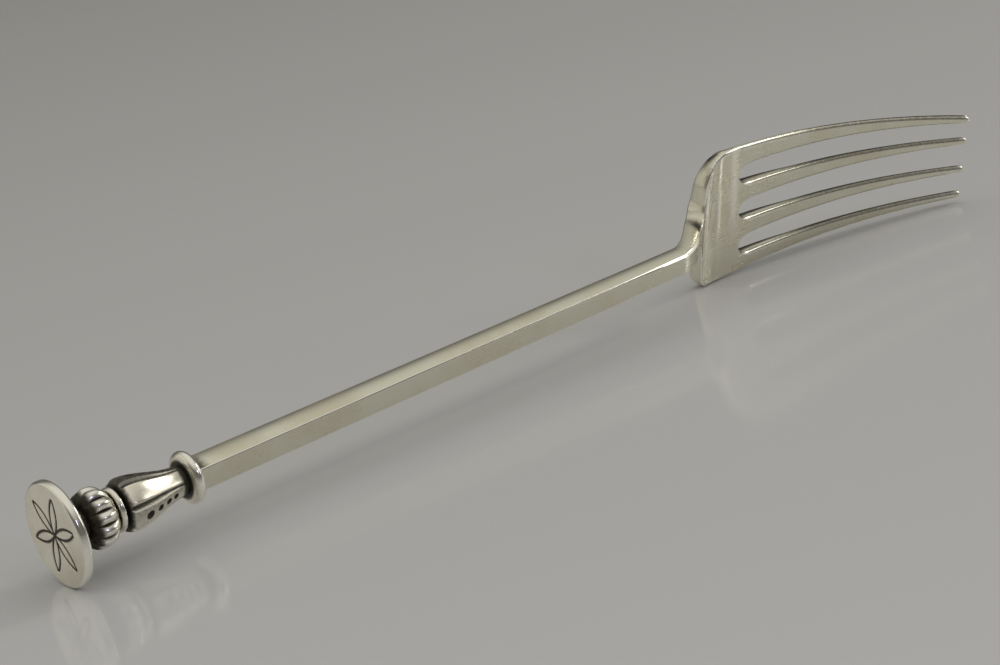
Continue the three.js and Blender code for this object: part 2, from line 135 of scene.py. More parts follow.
class ForgingSizes(PropertyGroup):
    """Sizes of the stem, neck, head and tines."""

    stem_length: length("Stem length", "From the collar to the crank", 83.3)
    stem_width_at_collar: length("Stem width at collar", "Across the stem at the collar", 3.66)
    stem_width_at_crank: length("Stem width at crank", "Across the stem at the crank", 3.6)
    stem_depth_at_collar: length("Stem depth at collar", "Front to back at the collar", 3.5)
    stem_depth_at_crank: length("Stem depth at crank", "Front to back at the crank", 2.8)
    crank_length: length("Crank length", "Along the cranked neck", 10.2)
    crank_setback: length("Crank setback", "How far the crank sets the head back", 5.9)
    crank_end_slope: angle("Crank end slope", "How steeply the crank meets the head", 34.992)
    neck_width: length("Neck width", "Across the neck below the shoulders", 4.2)
    heel_length: length("Heel length", "Along the filed band below the plate", 2.2)
    heel_setback: length("Heel setback", "How far the filed band falls back", 0.45)
    plate_length: length("Plate length", "From the filed band to the slots", 5.6)
    plate_thickness: length("Plate thickness", "Through the head plate", 1.85)
    shoulder_angle: angle("Shoulder angle", "Slope of the shoulders", 84.0)
    shoulder_setback: length("Shoulder setback", "From the slots to the shoulders' unrounded corners", 7.6)
    shoulder_fillet: length("Shoulder fillet", "Hollow radius between neck and shoulder", 2.0)
    lower_corner: length("Lower corner", "Radius of the lower shoulder's corner", 1.8)
    upper_corner: length("Upper corner", "Radius of the upper shoulder's corner", 5.6)
    tine_count: whole_number("Tines", "Tines on the head", 4)
    tine_length: length("Tine length", "From the slots' roots to the tips", 42.2)
    tine_arc: length("Tine arc", "Radius that the tines curve to", 98.0)
    tine_root_width: length("Tine root width", "Across a tine at its root", 3.3)
    tine_tip_width: length("Tine tip width", "Across a tine at its tip", 1.3)
    tine_tip_thickness: length("Tine tip thickness", "Through a tine at its tip", 1.35)
    tine_root_pitch: length("Root pitch", "Between two tines at their roots", 6.1)
    tine_tip_pitch: length("Tip pitch", "Between two tines at their tips", 5.2)
    upper_tip_bend: length("Upper tip bend", "How far the uppermost tip is bent in", 1.9)
    second_tip_bend: length("Second tip bend", "How far the next tip is bent in", 0.3)
    lower_tip_bend: length("Lower tip bend", "How far the lowest tip is bent in", 0.8)
    tip_rounding: length("Tip rounding", "Length of a tip's round end", 0.9)
    edge_radius: length("Edge radius", "Radius of the worn edges", 0.25)
    neck_edge_radius: length("Neck edge radius", "Radius of the edges at the crank", 1.25)
    shoulder_edge_radius: length("Shoulder edge radius", "Radius of the shoulders' worn edges", 0.3)
    tine_edge_radius: length("Tine edge radius", "Radius of the tines' worn edges", 0.55)
    tine_draft: length("Tine draft", "How much each side of a tine narrows towards its back", 0.4)
    side_swell: amount("Side swell", "Bulge of the sides as a share of the thickness", 0.055)
    upper_heft: length("Upper heft", "How much thicker the upper shoulder was left beside the neck", 0.5)
    ridge_height: length("Ridge height", "Height of the ridges beside the filed band", 0.075)
    ridge_width: length("Ridge width", "Half the width of those ridges", 0.45)
    trough_depth: length("Trough depth", "Depth of the soft trough before the slots", 0.05)
    trough_width: length("Trough width", "Half the width of that trough", 1.0)
    head_skew: amount("Head skew", "Slope of the filed band and the slots' roots across the head", 0.08)
    head_shift: length("Head shift", "How far the head stands off the stem's middle", 0.35)


class FinishLook(PropertyGroup):
    """Colours and wear of the silver, and the colours of its painted shade and highlights."""

    silver: colour("Silver", "Colour of clean silver", (0.745, 0.735, 0.615))
    cast_silver: colour("Cast silver", "Colour of the cast members", (0.88, 0.85, 0.73))
    tarnish: colour("Tarnish", "Colour of the thin yellow film", (0.62, 0.55, 0.38))
    # Also the colour of painted shade
    patina_and_shade: colour("Patina", "Colour of the dark film in the hollows", (0.045, 0.04, 0.028))
    # Also the colour of painted highlights
    bright: colour("Bright silver", "Colour of the rubbed edges", (0.95, 0.94, 0.88))
    tarnish_cover: amount("Tarnish cover", "Share of the surface under the film", 0.45)
    roughness: amount("Roughness", "Roughness of the polished faces", 0.2)
    scratch_depth: amount("Scratch depth", "Strength of the fine scratches", 0.05)


class StageLook(PropertyGroup):
    """The floor, the lights and the camera."""

    lean: angle("Lean", "How far the fork leans back on its side", 16.7885)
    floor_colour: colour("Floor", "Colour of the glossy floor", (0.735, 0.735, 0.745))
    dome_colour: colour("Dome", "Colour of the light from all round", (1.0, 0.975, 0.9))
    dome_strength: amount("Dome strength", "Strength of the light from all round", 1.0, 10.0)
    key_power: light_power("Key power", "Power of the soft key light", 0.17)
    window_power: light_power("Window power", "Power of the cool window light", 0.35)
    fill_power: light_power("Fill power", "Power of the fill light", 0.75)
    side_power: light_power("Side power", "Power of the small side light", 0.12)
    right_power: light_power("Right power", "Power of the light wall on the right", 0.6)
    left_power: light_power("Left power", "Power of the light wall behind on the left", 1.25)
    key_size: length("Key size", "Side of the soft key light", 142.0)
    key_distance: length("Key distance", "From the fork to the key light", 800.0)
    lens: FloatProperty(name="Lens", description="Focal length in millimetres", default=79.6, min=1.0)
    camera_turn: angle("Camera turn", "How far the camera looks to the right of +Y", 37.13)
    camera_dip: angle("Camera dip", "How far the camera looks down", 17.061)
    camera_roll: angle("Camera roll", "How far the camera is rolled", -10.047)


SETTINGS = {"fork_finial": FinialSizes, "fork_forging": ForgingSizes,
            "fork_finish": FinishLook, "fork_stage": StageLook}


# Places along the fork

def along_fork(scene):
    """Where each member of the fork starts, measured from the seal's face."""
    finial, forging = scene.fork_finial, scene.fork_forging
    gap = finial.joint_gap
    at = SimpleNamespace()
    at.neck_end = finial.seal_thickness + finial.neck_length
    at.knop = at.neck_end + gap
    at.fillet = at.knop + finial.knop_length + gap
    at.baluster = at.fillet + finial.fillet_length + gap
    at.collar = at.baluster + finial.baluster_length + gap
    at.stem = at.collar + finial.collar_length + gap
    at.crank = at.stem + forging.stem_length
    at.crank_end = at.crank + forging.crank_length
    at.plate = at.crank_end + forging.heel_length
    at.slots = at.plate + forging.plate_length
    at.tips = at.slots + forging.tine_length
    return at


def turn_pair(first, second, turn):
    """Two square directions, turned together."""
    return first * math.cos(turn) + second * math.sin(turn), second * math.cos(turn) - first * math.sin(turn)


def placed(place, *axes):
    """The matrix of a thing that stands in a place with its axes in these directions."""
    return Matrix.Translation(place) @ Matrix(axes).transposed().to_4x4()


def resting_place(scene):
    """The turn and shift that lay the fork down on its side."""
    along = -Vector(SEAL_FACE["axis"]).normalized()
    level = Vector((0.0, 1.0, 0.0))
    return placed(SEAL_FACE["pos_m"], along, *turn_pair(level, along.cross(level), scene.fork_stage.lean))


def finish_piece(scene, mesh, node):
    """Lays a mesh down in place and says which solid it stands for."""
    mesh.transform(resting_place(scene))
    mesh.shade_smooth()
    mesh.set_sharp_from_angle(angle=CREASE)
    mesh.name = node + "_body"
    piece = bpy.data.objects.new(mesh.name, mesh)
    scene.collection.objects.link(piece)
    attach(piece, BODY)
    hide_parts(node)
    return piece


# Shared shapes

def share(start, end, value):
    """How far a value has come from start to end, from 0 to 1."""
    return np.clip((value - start) / (end - start), 0.0, 1.0)


def ease(start, end, value):
    """The same, but starting and ending softly."""
    part = share(start, end, value)
    return part * part * (3 - 2 * part)


def mix(first, second, part):
    """A value part of the way from the first to the second."""
    return first + (second - first) * part


def bump(middle, width, value):
    """A soft bump: 1 at its middle, and almost 0 from twice its width on."""
    return np.exp(-((value - middle) / width) ** 2)


def mesh_from_faces(points, faces, masks, material):
    """Makes one closed mesh, joining the corners that lie in the same place."""
    spacing = 1e-7
    keys = np.round(points / spacing).astype(np.int64)
    _, first, joined = np.unique(keys, axis=0, return_index=True, return_inverse=True)
    joined = joined.ravel()
    kept = []
    for face in faces:
        corners = [int(joined[corner]) for corner in face]
        corners = [corner for place, corner in enumerate(corners) if corner != corners[place - 1]]
        if len(set(corners)) == len(corners) and len(corners) > 2:
            kept.append(corners)
    mesh = bpy.data.meshes.new("piece")
    mesh.from_pydata(points[first].tolist(), [], kept)
    for mask, values in masks.items():
        layer = mesh.attributes.new(mask, "FLOAT", "POINT")
        layer.data.foreach_set("value", values[first].astype(np.float32))
    mesh.materials.append(material)
    mesh.update()
    return mesh


# Node trees

class Field:
    """A value in a node tree that takes part in plain arithmetic."""

    def __init__(self, tree, socket):
        self.tree = tree
        self.socket = socket

    def __add__(self, other):
        return calc("ADD", self, other)

    def __radd__(self, other):
        return calc("ADD", other, self)

    def __sub__(self, other):
        return calc("SUBTRACT", self, other)

    def __rsub__(self, other):
        return calc("SUBTRACT", other, self)

    def __mul__(self, other):
        return calc("MULTIPLY", self, other)

    def __truediv__(self, other):
        return calc("DIVIDE", self, other)

    def __rtruediv__(self, other):
        return calc("DIVIDE", other, self)


def join(value, socket):
    """Links a field to a node's input, or fills that input with a plain value."""
    if isinstance(value, Field):
        value.tree.links.new(value.socket, socket)
    else:
        socket.default_value = value


def add_node(tree, kind, inputs=(), **settings):
    """Adds a node, sets it up, joins its inputs and gives its outputs by name."""
    node = tree.nodes.new(kind)
    for setting, value in settings.items():
        setattr(node, setting, value)
    for socket, value in dict(inputs).items():
        join(value, node.inputs[socket])
    return {socket.name: Field(tree, socket) for socket in node.outputs}


def calc(operation, *values):
    """One step of arithmetic in the tree that the values belong to."""
    tree = next(value.tree for value in values if isinstance(value, Field))
    return add_node(tree, "ShaderNodeMath", enumerate(values), operation=operation)["Value"]


def largest(first, *others):
    """The largest of some fields."""
    for other in others:
        first = calc("MAXIMUM", first, other)
    return first


def ramp(value, low, high, smooth=True):
    """Rises from 0 to 1 while a field goes from low to high."""
    kind = "SMOOTHSTEP" if smooth else "LINEAR"
    inputs = {"Value": value, "From Min": low, "From Max": high}
    return add_node(value.tree, "ShaderNodeMapRange", inputs, interpolation_type=kind)["Result"]


def fall(value, low, high, smooth=True):
    """Falls from 1 to 0 while a field goes from low to high."""
    return 1.0 - ramp(value, low, high, smooth)


def noise(place, scale, detail, roughness):
    """Cloudy noise from 0 to 1."""
    inputs = {"Vector": place, "Scale": scale, "Detail": detail, "Roughness": roughness}
    return add_node(place.tree, "ShaderNodeTexNoise", inputs)["Fac"]


def mapped(place, **inputs):
    """A place that is turned or stretched."""
    return add_node(place.tree, "ShaderNodeMapping", {"Vector": place, **inputs})["Vector"]


def new_group(name, kind, inputs):
    """Starts a node group and gives its inputs as fields."""
    tree = bpy.data.node_groups.new(name, kind)
    for socket, socket_kind in inputs.items():
        tree.interface.new_socket(socket, in_out="INPUT", socket_type="NodeSocket" + socket_kind)
    return add_node(tree, "NodeGroupInput")


def shader_group(name, *sizes):
    """Starts a shader group that takes a place and plain numbers."""
    return new_group(name, "ShaderNodeTree", {"Vector": "Vector", **dict.fromkeys(sizes, "Float")})


def end_group(kind, **outputs):
    """Ends a node group with outputs of one kind and gives the whole group."""
    tree = next(iter(outputs.values())).tree
    for socket in outputs:
        tree.interface.new_socket(socket, in_out="OUTPUT", socket_type="NodeSocket" + kind)
    add_node(tree, "NodeGroupOutput", outputs)
    return tree


# Silver

# Turn and stretch of each set of scratches, and the noise at which its lines start and are full
SCRATCH_SETS = ((0.06, 0.035, 0.60, 0.74), (-0.5, 0.06, 0.66, 0.78), (1.2, 0.08, 0.68, 0.80))
IOR = 1.5
FILM_STRENGTH = 0.4
SHEEN_AND_WEAR_STRENGTH = 0.7
PATINA_AND_SHADE_LOSS = 0.5
DULLEST = 0.85


@cache
def tarnish_group():
    """A thin yellow film in cloudy patches."""
    entry = shader_group("Tarnish film", "Patch Scale", "Cover")
    softness = 0.16
    edge = 0.82 - entry["Cover"] * 0.6
    clouds = noise(entry["Vector"], entry["Patch Scale"], detail=5.0, roughness=0.62)
    return end_group("Float", Mask=ramp(clouds, edge - softness, edge + softness))


@cache
def scratch_group():
    """Fine scratches from polishing, most of them along the fork."""
    entry = shader_group("Fine scratches", "Line Scale")
    total = 0.0
    for turn, stretch, low, high in SCRATCH_SETS:
        turned = mapped(entry["Vector"], Rotation=(0.3, turn, turn * 0.7))
        drawn_out = mapped(turned, Scale=(stretch, 1.0, 1.0))
        total = total + ramp(noise(drawn_out, entry["Line Scale"], detail=2.0, roughness=0.5), low, high)
    mask = calc("MINIMUM", total, 1.0)
    return end_group("Float", Height=1.0 - mask, Mask=mask)


@cache
def patina_and_shade_group():
    """The dark film that polishing leaves in the hollows, and painted shade where the masks put it, with a
    ragged edge.
    """
    entry = shader_group("Patina in hollows", "Hollow", "Grain Scale")
    ragged = (noise(entry["Vector"], entry["Grain Scale"], detail=3.0, roughness=0.6) - 0.5) * 0.4
    inside = ragged * ramp(entry["Hollow"], 0.02, 0.25)
    return end_group("Float", Mask=ramp(entry["Hollow"] + inside, 0.12, 0.85))


@cache
def hammer_group():
    """The slight waves that forging and casting leave under the polish."""
    entry = shader_group("Hand-worked waves", "Wave Scale")
    return end_group("Float", Height=noise(entry["Vector"], entry["Wave Scale"], detail=1.0, roughness=0.4))


@cache
def file_group():
    """The short facets that a file leaves across the band below the plate."""
    entry = shader_group("File marks", "Mark Scale")
    drawn_out = mapped(entry["Vector"], Scale=(1.0, 0.5, 0.5))
    return end_group("Float", Height=noise(drawn_out, entry["Mark Scale"], detail=2.0, roughness=0.6))


def blend_colour(first, second, part):
    """A colour laid over another by a mask."""
    node = part.tree.nodes.new("ShaderNodeMix")
    node.data_type = "RGBA"
    for socket, value in (("Factor", part), (6, first), (7, (*second, 1.0))):
        join(value, node.inputs[socket])
    return Field(part.tree, node.outputs[2])


def new_material(name):
    """A material with one surface, and the inputs of that surface."""
    material = bpy.data.materials.new(name)
    material.use_nodes = True
    surface = material.node_tree.nodes["Principled BSDF"].inputs
    surface["IOR"].default_value = IOR
    return material, surface


def silver_material(scene, name):
    """Polished silver with tarnish, scratches, a dark film in the hollows with painted shade, and worn edges
    with painted highlights: forged, cast or the seal's.
    """
    look = scene.fork_finish
    tint, cover, roughness, wave_depth = {
        "forged_silver": (look.silver, look.tarnish_cover, look.roughness, 0.04),
        "cast_silver": (look.cast_silver, 0.3, look.roughness * 1.1, 0.3),
        "seal_silver": (look.cast_silver, 0.4, look.roughness, 0.12)}[name]
    material, surface = new_material(name)
    tree = material.node_tree
    place = add_node(tree, "ShaderNodeTexCoord")["Object"]
    hollow, edge, filed = (
        add_node(tree, "ShaderNodeAttribute", attribute_name=mask)["Fac"]
        for mask in ("hollow", "edge", "filed"))
    film, scratches, patina_and_shade, waves, marks = (
        add_node(tree, "ShaderNodeGroup", {"Vector": place, **inputs}, node_tree=group)
        for group, inputs in (
            (tarnish_group(), {"Patch Scale": 130.0, "Cover": cover}),
            (scratch_group(), {"Line Scale": 5200.0}),
            (patina_and_shade_group(), {"Hollow": hollow, "Grain Scale": 2600.0}),
            (hammer_group(), {"Wave Scale": 260.0}),
            (file_group(), {"Mark Scale": 2400.0})))
    filmed = blend_colour((*tint, 1.0), look.tarnish, film["Mask"] * FILM_STRENGTH)
    # Bright silver on worn edges and on painted highlights
    rubbed_and_sheen = blend_colour(filmed, look.bright, edge * SHEEN_AND_WEAR_STRENGTH)
    # The dark mask lays the dark film in the hollows and painted shade
    join(blend_colour(rubbed_and_sheen, look.patina_and_shade, patina_and_shade["Mask"]), surface["Base Color"])
    dull = roughness
    for mask, added in ((edge, -0.06), (scratches["Mask"], 0.1), (film["Mask"], 0.1), (patina_and_shade["Mask"], 0.3)):
        dull = mask * added + dull
    join(calc("MINIMUM", dull, DULLEST), surface["Roughness"])
    join(1.0 - patina_and_shade["Mask"] * PATINA_AND_SHADE_LOSS, surface["Metallic"])
    below = {}
    for strength, depth, height in (
            (wave_depth, 0.2 * MM, waves["Height"]),
            (look.scratch_depth, 0.004 * MM, scratches["Height"]),
            (filed, 0.1 * MM, marks["Height"])):
        inputs = {"Strength": strength, "Distance": depth, "Height": height, **below}
        below = add_node(tree, "ShaderNodeBump", inputs)
    join(below["Normal"], surface["Normal"])
    return material


# Forging

FACE_STEPS = (0.0, 0.05, 0.15, 0.33, 0.5, 0.67, 0.85, 0.95, 1.0)
ARC_STEPS = (0.25, 0.5, 0.75)
SIDE_STEPS = (0.0, 0.1, 0.22, 0.36, 0.5, 0.64, 0.78, 0.9, 1.0)
# Largest radius of an edge, as a share of the strip's width and of its thickness
EDGE_WIDTH = 0.42
EDGE_DEPTH = 0.46
# How far before the crank the neck's bevels start
BEVEL_LEAD = 14 * MM
# Painted shade along the back's upper edge, and how much more of the tines' dark film and painted shade their
# sides get than their edges
BACK_SHADE = 0.35
WALL_FILM_AND_SHADE = 1.6


def stem_depth(sizes, at, u):
    """Front to back through the stem."""
    return mix(sizes.stem_depth_at_collar, sizes.stem_depth_at_crank, share(at.stem, at.crank, u))


def filed_band(at):
    """Where the band that was filed flat below the plate starts and ends."""
    return at.crank_end + 0.8 * MM, at.plate + 1.05 * MM


def front_height(sizes, at, u):
    """Height of the front face above the fork's axis, from the stem through the crank to the tips."""
    end_slope = -math.tan(sizes.crank_end_slope)
    part = share(at.crank, at.crank_end, u)
    fall = part * part * (3 - 2 * part) * sizes.crank_setback
    ease = part * part * (part - 1) * sizes.crank_length * end_slope
    heel = sizes.heel_setback * share(at.crank_end, at.plate, u)
    reach = np.maximum(u - at.slots, 0.0)
    curve = sizes.tine_arc - np.sqrt(sizes.tine_arc ** 2 - reach ** 2)
    return stem_depth(sizes, at, u) / 2 - fall + ease - heel + curve


def worn_lines(sizes, at, u, across):
    """Height of the ridges beside the filed band and of the soft trough, rubbed away low on the head."""
    start, end = filed_band(at)
    kept = mix(0.2, 1.0, ease(-7 * MM, -1 * MM, across))
    middle = 0.7 * bump(3 * MM, 3 * MM, across)
    wave = 0.07 * MM * np.sin(across / (1.9 * MM)) + 0.04 * MM * np.sin(across / (0.83 * MM) + 1.3)
    uneven = 0.75 + 0.25 * np.sin(across / (1.3 * MM) + 0.5)
    first = middle * uneven * bump(start + wave, sizes.ridge_width, u)
    second = kept * uneven * bump(end + wave, sizes.ridge_width, u)
    trough = ease(-5 * MM, 5 * MM, across) * bump(at.slots, sizes.trough_width, u)
    return sizes.ridge_height * (first + second) - sizes.trough_depth * trough


def blade_thickness(sizes, at, u):
    """Thickness of the stem, crank, plate and tines."""
    half_heel = sizes.heel_length / 2
    part = share(at.crank, at.crank_end, u)
    slope = 6 * part * (1 - part) * sizes.crank_setback / sizes.crank_length
    slope = slope + (3 * part - 2) * part * math.tan(sizes.crank_end_slope)
    bent = mix(np.hypot(1.0, slope), 1.0, ease(at.crank_end - half_heel, at.crank_end, u))
    thinning = ease(at.crank_end - half_heel, at.plate + half_heel, u)
    blade = mix(stem_depth(sizes, at, u) * bent, sizes.plate_thickness, thinning)
    return mix(blade, sizes.tine_tip_thickness, share(at.slots, at.tips, u))


def upper_heft(sizes, at, u, across):
    """What the upper shoulder is thicker by at its back: most beside the neck, and thinner at its corner."""
    start = ease(at.crank_end - 1.2 * MM, at.crank_end - 0.3 * MM, u)
    end = ease(at.crank_end, at.plate + 3 * MM, u)
    boss = mix(1.0, -0.2, ease(3 * MM, 10 * MM, across)) * ease(0.5 * MM, 2.8 * MM, across)
    return sizes.upper_heft * boss * start * (1 - end)


def shoulder_plan(sizes, at):
    """Where a shoulder's hollow fillet and straight edge start, and where its corner would be if sharp."""
    rise = 1 - math.cos(sizes.shoulder_angle)
    run = math.sin(sizes.shoulder_angle)
    plan = SimpleNamespace()
    plan.outer = (sizes.tine_count - 1) / 2 * sizes.tine_root_pitch + sizes.tine_root_width / 2
    plan.sharp = at.slots - sizes.shoulder_setback
    plan.edge_width = sizes.neck_width / 2 + sizes.shoulder_fillet * rise
    plan.edge = plan.sharp - (plan.outer - plan.edge_width) / math.tan(sizes.shoulder_angle)
    plan.fillet = plan.edge - sizes.shoulder_fillet * run
    return plan


def corner_span(sizes, at, radius):
    """Where a shoulder's rounded corner starts and ends."""
    end = shoulder_plan(sizes, at).sharp + radius * math.tan(sizes.shoulder_angle / 2)
    return end - radius * math.sin(sizes.shoulder_angle), end


def half_width(sizes, at, u, radius):
    """Half the width of the stem, neck and shoulders, on the side whose corner has this radius."""
    plan = shoulder_plan(sizes, at)
    start, end = corner_span(sizes, at, radius)
    stem = mix(sizes.stem_width_at_collar, sizes.stem_width_at_crank, share(at.stem, at.crank, u)) / 2
    neck = mix(stem, sizes.neck_width / 2, ease(at.crank, plan.fillet, u))
    run = np.clip(u - plan.fillet, 0.0, plan.edge - plan.fillet)
    fillet = sizes.shoulder_fillet - np.sqrt(sizes.shoulder_fillet ** 2 - run ** 2)
    edge = (plan.outer - plan.edge_width) * share(plan.edge, plan.sharp, np.minimum(u, start))
    left = np.clip(end - u, 0.0, end - start)
    corner = np.sqrt(radius ** 2 - left ** 2) - math.sqrt(radius ** 2 - (end - start) ** 2)
    return neck + fillet + edge + corner


def tip_taper(sizes, at, u):
    """How a tip rounds off, as a share of the tine's section."""
    end_share = 0.25
    travel = share(at.tips - sizes.tip_rounding, at.tips, u)
    return np.sqrt(1 - (1 - end_share ** 2) * travel ** 2)


def bevel_end(sizes, at, u):
    """How far the wide bevels of the neck have given way to the shoulders' edges."""
    return ease(at.crank + 6.5 * MM, shoulder_plan(sizes, at).fillet + 0.6 * MM, u)


def edge_radius(sizes, at, u):
    """Radius of the worn front edges: small on the stem and the tines, wide along the crank."""
    crank = ease(at.crank - BEVEL_LEAD, at.crank + 3 * MM, u)
    tines = ease(shoulder_plan(sizes, at).sharp, at.slots, u)
    radius = mix(sizes.edge_radius, sizes.neck_edge_radius, crank)
    radius = mix(radius, sizes.shoulder_edge_radius, bevel_end(sizes, at, u))
    return mix(radius, sizes.tine_edge_radius, tines)


def strip_edges(sizes, at, tine, u):
    """Edges of one tine's strip of the forging and the radius of each edge."""
    last = sizes.tine_count - 1
    plan = shoulder_plan(sizes, at)
    slotted = u > at.slots
    part = share(at.slots, at.tips, u)
    shift = sizes.head_shift * ease(plan.fillet, plan.sharp, u) * (1 - part)
    lower = half_width(sizes, at, u, sizes.lower_corner)
    upper = half_width(sizes, at, u, sizes.upper_corner)
    inner = upper * sizes.tine_root_pitch / plan.outer
    plain_left = shift - lower if tine == 0 else (tine - sizes.tine_count / 2) * inner
    plain_right = shift + upper if tine == last else (tine + 1 - sizes.tine_count / 2) * inner
    pitch = mix(sizes.tine_root_pitch, sizes.tine_tip_pitch, part)
    bends = {last: sizes.upper_tip_bend, last - 1: sizes.second_tip_bend, 0: -sizes.lower_tip_bend}
    centre = (tine - last / 2) * pitch - bends.get(tine, 0.0) * part ** 2
    reach = mix(sizes.tine_root_width, sizes.tine_tip_width, part) / 2 * tip_taper(sizes, at, u)
    root = (sizes.tine_root_pitch - sizes.tine_root_width) / 2
    hollow = np.clip(root - (u - at.slots), 0.0, root)
    fill = root - np.sqrt(root ** 2 - hollow ** 2)
    slot_share = ease(at.slots, at.slots + 2 * root, u)
    outer_share = np.ones_like(u)
    return SimpleNamespace(
        left=np.where(slotted, centre - reach + (shift if tine == 0 else -fill), plain_left),
        right=np.where(slotted, centre + reach + (shift if tine == last else fill), plain_right),
        radius=edge_radius(sizes, at, u),
        left_share=outer_share if tine == 0 else slot_share,
        right_share=outer_share if tine == last else slot_share)


def inward(at, u, edge):
    """Which way is square to an edge in plan: the parts of it along the fork and across it."""
    slope = np.gradient(edge, u) * (1 - ease(at.plate, at.slots - 0.5 * MM, u))
    return slope / np.hypot(1.0, slope), 1 / np.hypot(1.0, slope)


def strip_wear(sizes, at, tine, u):
    """The worn places with painted highlights, and the dark film with painted shade, along one tine's strip.
    """
    plan = shoulder_plan(sizes, at)
    upper = tine == sizes.tine_count - 1
    # Painted shade on the upper tine's top wall by the shoulder's corner, and on the other tines' top walls
    # in the slots
    corner = 0.8 * bump(plan.sharp + 2.4 * MM, 2.0 * MM, u)
    slot = mix(1.0, 0.5, ease(at.slots + 3 * MM, at.slots + 16 * MM, u))
    crook = bump(plan.fillet - 0.4 * MM, 1.1 * MM, u)
    # Wear with painted highlights: a pale band before the slots and lines beside the filed band
    rubbed_and_sheen = 0.7 * bump(at.slots - 1.1 * MM, 0.7 * MM, u)
    for place in filed_band(at):
        rubbed_and_sheen = np.maximum(rubbed_and_sheen, bump(place, 0.3 * MM, u))
    tip = ease(at.tips - 1.1 * MM, at.tips - 0.4 * MM, u)
    return SimpleNamespace(
        wall_shade=corner if upper else np.where(u > at.slots, slot, 0.0),
        crook=crook if upper else np.zeros_like(u),
        rubbed_and_sheen=rubbed_and_sheen,
        # Darker on both walls at the stem's start next to the collar
        dark_near_collar=0.9 * np.exp(-(u - at.stem) / (0.7 * MM)),
        # Painted shade on the lower shoulder's wall
        under=0.15 * bump(plan.edge, 1.3 * MM, u),
        # Worn front edges, brightened as painted highlights near the tines' roots and at their tips
        polished=np.maximum(1 - ease(at.slots + 1 * MM, at.slots + 12 * MM, u), tip),
        # Dark film along the tines' upper edges and top walls: brown tarnish with painted shade
        tine_film_and_shade=0.52 * ease(at.slots + 3 * MM, at.slots + 18 * MM, u) * (1 - tip))


